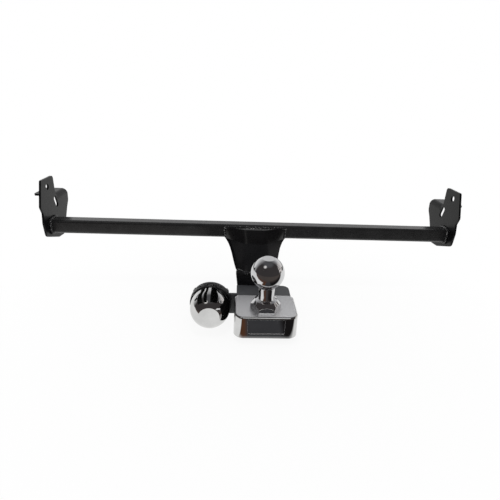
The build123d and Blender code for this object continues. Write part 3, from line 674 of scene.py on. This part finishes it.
thread_pitch, thread_start_z = 2.5, -96.9
ridge_line, ridge_height = 9.3, 0.6
shank_thread = run_tree(make_thread_tree(), "shank_thread", "tow_bar", "chromed_steel", Turns=1.0,
                        Radius=mm(ridge_line), Length=mm(thread_pitch), Ridge=mm(ridge_height),
                        Material=ball_chrome)
shank_thread.data.transform(Matrix.Translation(mm(0, 0, thread_start_z)))
print("thread below the nut, from", thread_start_z, "mm up")


# %% [markdown]
# A weld bead is a row of small puddles, each frozen over the one before it. The tree walks along a
# line, sets a flattened ball at every step, turns it along the line and varies its size a little.
# The seed is fixed, so every render shows the same bead.

# %% The weld-bead tree
puddle_segments, puddle_rings = 14, 8
puddle_shape = (0.5, 1.0, 1.0)
puddle_smallest, puddle_largest = 0.92, 1.06


def make_bead_tree():
    """Sets flattened balls along a seam, each close behind the last."""
    tree, start = new_tree(
        "weld_bead",
        Seam=("NodeSocketObject", None),
        Ripple_Step=("NodeSocketFloat", 0.0011),
        Ripple_Radius=("NodeSocketFloat", 0.003),
        Seed=("NodeSocketInt", 3),
        Material=("NodeSocketMaterial", None),
    )
    new = tree.nodes.new
    line = new("GeometryNodeObjectInfo")
    curve = new("GeometryNodeMeshToCurve")
    steps = new("GeometryNodeResampleCurve")
    steps.mode = "LENGTH"
    tangent = new("GeometryNodeInputTangent")
    turn = new("FunctionNodeAlignRotationToVector")
    turn.axis = "X"
    puddle = new("GeometryNodeMeshUVSphere")
    puddle.inputs["Segments"].default_value = puddle_segments
    puddle.inputs["Rings"].default_value = puddle_rings
    puddle.inputs["Radius"].default_value = 1.0
    flatten = new("GeometryNodeTransform")
    flatten.inputs["Scale"].default_value = puddle_shape
    smooth = new("GeometryNodeSetShadeSmooth")
    vary = new("FunctionNodeRandomValue")
    vary.inputs[2].default_value = puddle_smallest
    vary.inputs[3].default_value = puddle_largest
    size = new("ShaderNodeMath")
    size.operation = "MULTIPLY"
    set_down = new("GeometryNodeInstanceOnPoints")
    join(tree,
         (start.outputs["Seam"], line.inputs["Object"]),
         (line.outputs["Geometry"], curve.inputs[0]),
         (curve.outputs[0], steps.inputs["Curve"]),
         (start.outputs["Ripple Step"], steps.inputs["Length"]),
         (tangent.outputs[0], turn.inputs["Vector"]),
         (puddle.outputs["Mesh"], flatten.inputs["Geometry"]),
         (flatten.outputs[0], smooth.inputs["Geometry"]),
         (start.outputs["Seed"], vary.inputs["Seed"]),
         (start.outputs["Ripple Radius"], size.inputs[0]),
         (vary.outputs[1], size.inputs[1]),
         (steps.outputs[0], set_down.inputs["Points"]),
         (smooth.outputs[0], set_down.inputs["Instance"]),
         (turn.outputs[0], set_down.inputs["Rotation"]),
         (size.outputs[0], set_down.inputs["Scale"]))
    close_tree(tree, start, set_down.outputs[0])
    return tree


bead_tree = make_bead_tree()
print("weld-bead tree:", len(bead_tree.nodes), "nodes")


# %% [markdown]
# The seams are where the drawing has them: all round the tube at both plates, along the top and
# sides of the neck on the tube, across the foot, under the tongue and up behind the bracket. Each
# seam is a list of points in millimetres. Every bead stands in for its CAD node, which is hidden
# but kept.

# %% Seam round the tube
tube_half, tube_corner = 12.5, 4.5
tube_y, tube_z = 168, 5
bead_lift = 0.6
right_seam_x, left_seam_x = 348.9, -378.9


def seam_round_tube(x):
    """Rounded square about the tube, a little outside its faces."""
    half, rounding = tube_half + bead_lift, tube_corner + bead_lift
    flat = half - rounding
    points = []
    for side_y, side_z, first in ((1, 1, 0), (-1, 1, 90), (-1, -1, 180), (1, -1, 270)):
        for step in range(5):
            turn = math.radians(first + 22.5 * step)
            y = tube_y + side_y * flat + rounding * math.cos(turn)
            z = tube_z + side_z * flat + rounding * math.sin(turn)
            points.append(mm(x, y, z))
    return points


print("points in the seam round the tube:", len(seam_round_tube(right_seam_x)))

# %% Beads
ripple_share = 0.42
wide_bead, narrow_bead, thin_bead = 2.9, 2.7, 2.4


def make_bead(name, points, radius, replaced, seed, closed=False):
    """One bead along a seam, in place of its CAD node."""
    line = guide_line(name + "_seam", points, closed)
    piece = run_tree(bead_tree, name, "tow_bar", "black_paint", Seam=line, Material=weld_paint,
                     Ripple_Step=mm(radius * ripple_share), Ripple_Radius=mm(radius), Seed=seed)
    bpy.data.objects.remove(line)
    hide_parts(replaced)
    return piece


right_seam, left_seam = seam_round_tube(right_seam_x), seam_round_tube(left_seam_x)
make_bead("bead_right_plate", right_seam, wide_bead, "weld_right_plate", 3, closed=True)
make_bead("bead_left_plate", left_seam, wide_bead, "weld_left_plate", 4, closed=True)
neck_seam = [mm(-66.0, 155.3, -5.5), mm(-68.0, 155.3, 11.6), mm(-66.4, 155.2, 13.0),
             mm(42.4, 155.2, 13.0), mm(44.0, 155.3, 11.6), mm(42.0, 155.3, -5.5)]
make_bead("bead_neck_tube", neck_seam, thin_bead, "weld_neck_tube", 5)
foot_seam = [mm(-43, 88, -39.3), mm(-30.5, 75.3, -39.3), mm(6.5, 75.3, -39.3), mm(19, 88, -39.3)]
make_bead("bead_neck_foot", foot_seam, wide_bead, "weld_neck_foot", 6)
tongue_seam = [mm(-41, 75.2, -74.2), mm(15, 75.2, -74.2)]
make_bead("bead_foot_tongue", tongue_seam, narrow_bead, "weld_foot_tongue", 7)
bracket_seam = [mm(-44, 44, -73.5), mm(-44, 44, -63)]
make_bead("bead_bracket", bracket_seam, narrow_bead, "weld_bracket", 8)


# %% [markdown]
# The floor and the backdrop aren't part of the tow bar. To the camera they are white, as in the
# photograph, with a little of their own shading left in, so that the object keeps a soft shadow.
# What a mirror shows is another matter: the chrome in the photograph sees white paper under and
# behind the object, and a dark room with a few windows in front of it. So the floor that mirrors
# see ends in front of the object, and beyond its edge mirrors see painted dark reflections: brown
# on the left, grey in the middle and nearly black on the right. Light Path tells the two kinds of
# ray apart.

# %% Floor
floor_z, floor_size = mm(-106.0), 6.0
paper_grey, mirrored_paper = (0.85, 0.85, 0.85), (0.92, 0.92, 0.91)
# Dark colours that only mirrors see on the floor, which are painted reflections.
left_mirror_dark, middle_mirror_dark = (0.10, 0.045, 0.025), (0.050, 0.050, 0.054)
right_mirror_dark, far_mirror_dark = (0.012, 0.011, 0.011), (0.080, 0.068, 0.062)


def floor_mesh(size, low):
    """A flat square about the origin, at a given height."""
    mesh = bpy.data.meshes.new("floor")
    corners = [(-size, -size, low), (size, -size, low), (size, size, low), (-size, size, low)]
    mesh.from_pydata(corners, [], [(0, 1, 2, 3)])
    floor = bpy.data.objects.new("floor", mesh)
    bpy.context.scene.collection.objects.link(floor)
    return floor


def mirrored_floor(graph, place):
    """The floor's colour in a mirror: paper round the object and painted dark reflections in front
    of it.
    """
    split = add(graph, "ShaderNodeSeparateXYZ")
    graph.links.new(place, split.inputs[0])
    paper_edge = spread(graph, split.outputs["X"], -0.07, -0.055, -0.10, -0.040)
    inside = add(graph, "ShaderNodeMath", operation="SUBTRACT")
    graph.links.new(split.outputs["Y"], inside.inputs[0])
    graph.links.new(paper_edge, inside.inputs[1])
    paper_share = spread(graph, inside.outputs[0], -0.010, 0.008, 0.0, 1.0)
    middle_share = spread(graph, split.outputs["X"], -0.031, -0.025, 0.0, 1.0)
    right_share = spread(graph, split.outputs["X"], 0.026, 0.034, 0.0, 1.0)
    in_front = mix_colour(graph, middle_share, left_mirror_dark, middle_mirror_dark)
    in_front = mix_colour(graph, right_share, in_front, right_mirror_dark)
    near_share = spread(graph, split.outputs["Y"], -0.22, -0.10, 0.0, 1.0)
    in_front = mix_colour(graph, near_share, far_mirror_dark, in_front)
    return mix_colour(graph, paper_share, in_front, mirrored_paper)


def make_floor():
    """Paper to the light, white to the camera and the mirrored floor to the chrome."""
    floor = floor_mesh(floor_size, floor_z)
    material = bpy.data.materials.new("floor_paper")
    material.use_nodes = True
    material.cycles.emission_sampling = "NONE"
    graph = material.node_tree
    graph.nodes.clear()
    link = graph.links.new
    place = add(graph, "ShaderNodeTexCoord")
    reflected = add(graph, "ShaderNodeEmission", Strength=1.0)
    link(mirrored_floor(graph, place.outputs["Object"]), reflected.inputs["Color"])
    white = add(graph, "ShaderNodeEmission", Strength=1.0)
    paper = add(graph, "ShaderNodeBsdfDiffuse")
    paper.inputs["Color"].default_value = (*paper_grey, 1)
    path = add(graph, "ShaderNodeLightPath")
    mirror = add(graph, "ShaderNodeMixShader")
    far = add(graph, "ShaderNodeVectorMath", operation="LENGTH")
    link(place.outputs["Object"], far.inputs[0])
    seen = add(graph, "ShaderNodeMixShader")
    link(spread(graph, far.outputs["Value"], 0.15, 0.5, 0.9, 1.0), seen.inputs[0])
    final = add(graph, "ShaderNodeMixShader")
    output = add(graph, "ShaderNodeOutputMaterial")
    link(path.outputs["Is Glossy Ray"], mirror.inputs[0])
    link(paper.outputs[0], mirror.inputs[1])
    link(reflected.outputs[0], mirror.inputs[2])
    link(paper.outputs[0], seen.inputs[1])
    link(white.outputs[0], seen.inputs[2])
    link(path.outputs["Is Camera Ray"], final.inputs[0])
    link(mirror.outputs[0], final.inputs[1])
    link(seen.outputs[0], final.inputs[2])
    link(final.outputs[0], output.inputs["Surface"])
    floor.data.materials.append(material)
    return floor


floor = make_floor()
print("floor at", round(floor.data.vertices[0].co.z, 3))


# %% [markdown]
# Photographers hang strips of black card round chrome, so that it doesn't look like white plastic.
# Three hang above the dome, with gaps that show as bright streaks, and one stands to its right.
# Only reflections see them: they are hidden from the camera and from all other light, so the dark
# they put in the dome is painted reflection, and the card on its right is painted shade in the gap
# by the cover. They are black on the dome's side and clear on the other, so that the ball doesn't
# show them. A glowing card above the cover's front, also seen only in reflections, paints the
# bright highlight along its rounded edge.

# %% Cards round the chrome
def make_cards(name, cards, glow):
    """One mesh of flat cards, each a list of four corners in millimetres."""
    mesh = bpy.data.meshes.new(name)
    points = [mm(*corner) for card in cards for corner in card]
    faces = [tuple(range(first, first + 4)) for first in range(0, len(points), 4)]
    mesh.from_pydata(points, [], faces)
    hung = bpy.data.objects.new(name, mesh)
    bpy.context.scene.collection.objects.link(hung)
    hung.visible_camera = hung.visible_diffuse = False
    hung.visible_shadow = hung.visible_transmission = False
    material, graph, shader = new_material(name)
    material.cycles.emission_sampling = "NONE"
    shader.inputs["Emission Color"].default_value = (1, 1, 1, 1)
    shader.inputs["Emission Strength"].default_value = glow
    shader.inputs["Base Color"].default_value = (0.01, 0.01, 0.01, 1)
    shader.inputs["Roughness"].default_value = 1.0
    shader.inputs["Specular IOR Level"].default_value = 0.0
    side = add(graph, "ShaderNodeNewGeometry")
    clear = add(graph, "ShaderNodeBsdfTransparent")
    either = add(graph, "ShaderNodeMixShader")
    output = next(node for node in graph.nodes if node.type == "OUTPUT_MATERIAL")
    graph.links.new(side.outputs["Backfacing"], either.inputs[0])
    graph.links.new(clear.outputs[0], either.inputs[1])
    graph.links.new(shader.outputs[0], either.inputs[2])
    graph.links.new(either.outputs[0], output.inputs["Surface"])
    mesh.materials.append(material)
    return hung


# Black strips above the dome and one beside it put painted dark reflections on the dome.
strips = ((-160, -112), (-105, -94), (-84, -58))
above = [[(left, -12, -32), (right, -12, -32), (right, 150, -8), (left, 150, -8)]
         for left, right in strips]
beside = [[(-51, -14, -100), (-51, 36, -100), (-51, 36, -48), (-51, -14, -48)]]
black_cards = make_cards("black_cards", above + beside, 0.0)
# A glowing card seen only in reflections paints a highlight along the cover's front edge.
over_edge = [[(-40, -66, -40), (46, -66, -40), (46, -38, -40), (-40, -38, -40)]]
white_card = make_cards("white_card", over_edge, 0.9)
print("cards:", len(black_cards.data.polygons), "black and", len(white_card.data.polygons), "white")


# %% [markdown]
# The room is drawn in the world's shader by direction. Y points away from the camera, so a
# direction with a large Y is the pale wall behind the object. A soft window is a cone about one
# direction, and the blinds on the right are stripes across a wider one.

# %% Room
def towards(azimuth, elevation):
    """Unit vector, with azimuth 0 towards the camera and 90 to the right."""
    turn, rise = math.radians(azimuth), math.radians(elevation)
    return (math.sin(turn) * math.cos(rise), -math.cos(turn) * math.cos(rise), math.sin(rise))


def window(graph, direction, azimuth, elevation, half_angle, soft):
    """1 within a cone about a direction and 0 outside it."""
    dot = add(graph, "ShaderNodeVectorMath", operation="DOT_PRODUCT")
    dot.inputs[1].default_value = towards(azimuth, elevation)
    graph.links.new(direction, dot.inputs[0])
    outside, inside = math.cos(math.radians(half_angle + soft)), math.cos(math.radians(half_angle))
    return spread(graph, dot.outputs["Value"], outside, inside, 0.0, 1.0)


def blinds(graph, direction, share):
    """Stripes that break up a window."""
    wave = add(graph, "ShaderNodeTexWave", Scale=5.0, Distortion=1.5)
    graph.links.new(direction, wave.inputs["Vector"])
    product = add(graph, "ShaderNodeMath", operation="MULTIPLY")
    graph.links.new(share, product.inputs[0])
    graph.links.new(spread(graph, wave.outputs["Fac"], 0.35, 0.65, 0.1, 1.0), product.inputs[1])
    return product.outputs[0]


front_room, ceiling_grey = (0.05, 0.045, 0.045), (0.10, 0.10, 0.105)
pale_wall, high_wall = (0.85, 0.85, 0.85), (0.4, 0.4, 0.41)
window_light, blinds_light = (0.95, 0.93, 0.9), (0.85, 0.80, 0.77)


def make_room():
    """White to the camera, plain soft light on the object, and a simple room in its reflections."""
    world = bpy.data.worlds.new("room")
    bpy.context.scene.world = world
    world.use_nodes = True
    world.cycles.sampling_method = "NONE"
    graph = world.node_tree
    graph.nodes.clear()
    place = add(graph, "ShaderNodeTexCoord")
    direction = place.outputs["Generated"]
    split = add(graph, "ShaderNodeSeparateXYZ")
    graph.links.new(direction, split.inputs[0])
    behind = spread(graph, split.outputs["Y"], 0.1, 0.6, 0.0, 1.0)
    high = spread(graph, split.outputs["Z"], 0.25, 0.75, 0.0, 1.0)
    wall = mix_colour(graph, high, pale_wall, high_wall)
    room = mix_colour(graph, behind, front_room, wall)
    ceiling = spread(graph, split.outputs["Z"], 0.82, 0.95, 0.0, 1.0)
    room = mix_colour(graph, ceiling, room, ceiling_grey)
    lit = window(graph, direction, azimuth=-44, elevation=60, half_angle=3, soft=9)
    room = mix_colour(graph, lit, room, window_light)
    wide = window(graph, direction, azimuth=110, elevation=12, half_angle=22, soft=8)
    room = mix_colour(graph, blinds(graph, direction, wide), room, blinds_light)
    path = add(graph, "ShaderNodeLightPath")
    plain = mix_colour(graph, path.outputs["Is Glossy Ray"], paper_grey, room)
    colour = mix_colour(graph, path.outputs["Is Camera Ray"], plain, (1.0, 1.0, 1.0))
    background = add(graph, "ShaderNodeBackground")
    output = add(graph, "ShaderNodeOutputWorld")
    graph.links.new(colour, background.inputs["Color"])
    graph.links.new(background.outputs[0], output.inputs["Surface"])


make_room()
print("the room is set up")


# %% [markdown]
# One small round lamp under the ceiling gives the object its soft shadow. The window in the room's
# shader already gives the steel its point of light, so the lamp keeps out of the reflections.

# %% Lamp
def make_lamp(name, place, aim, size, power):
    """A round lamp that looks at a point and stays out of reflections."""
    data = bpy.data.lights.new(name, "AREA")
    data.shape = "DISK"
    data.size = size
    data.energy = power
    lamp = bpy.data.objects.new(name, data)
    lamp.visible_glossy = False
    bpy.context.scene.collection.objects.link(lamp)
    lamp.location = place
    lamp.rotation_euler = (Vector(aim) - Vector(place)).to_track_quat("-Z", "Y").to_euler()
    return lamp


lamp_place, lamp_aim = (-0.15, 0.05, 1.7), (0, 0.05, 0)
make_lamp("ceiling_lamp", lamp_place, lamp_aim, size=0.22, power=5.0)
bpy.context.scene.view_settings.view_transform = "Standard"
print("the lamp is in place")
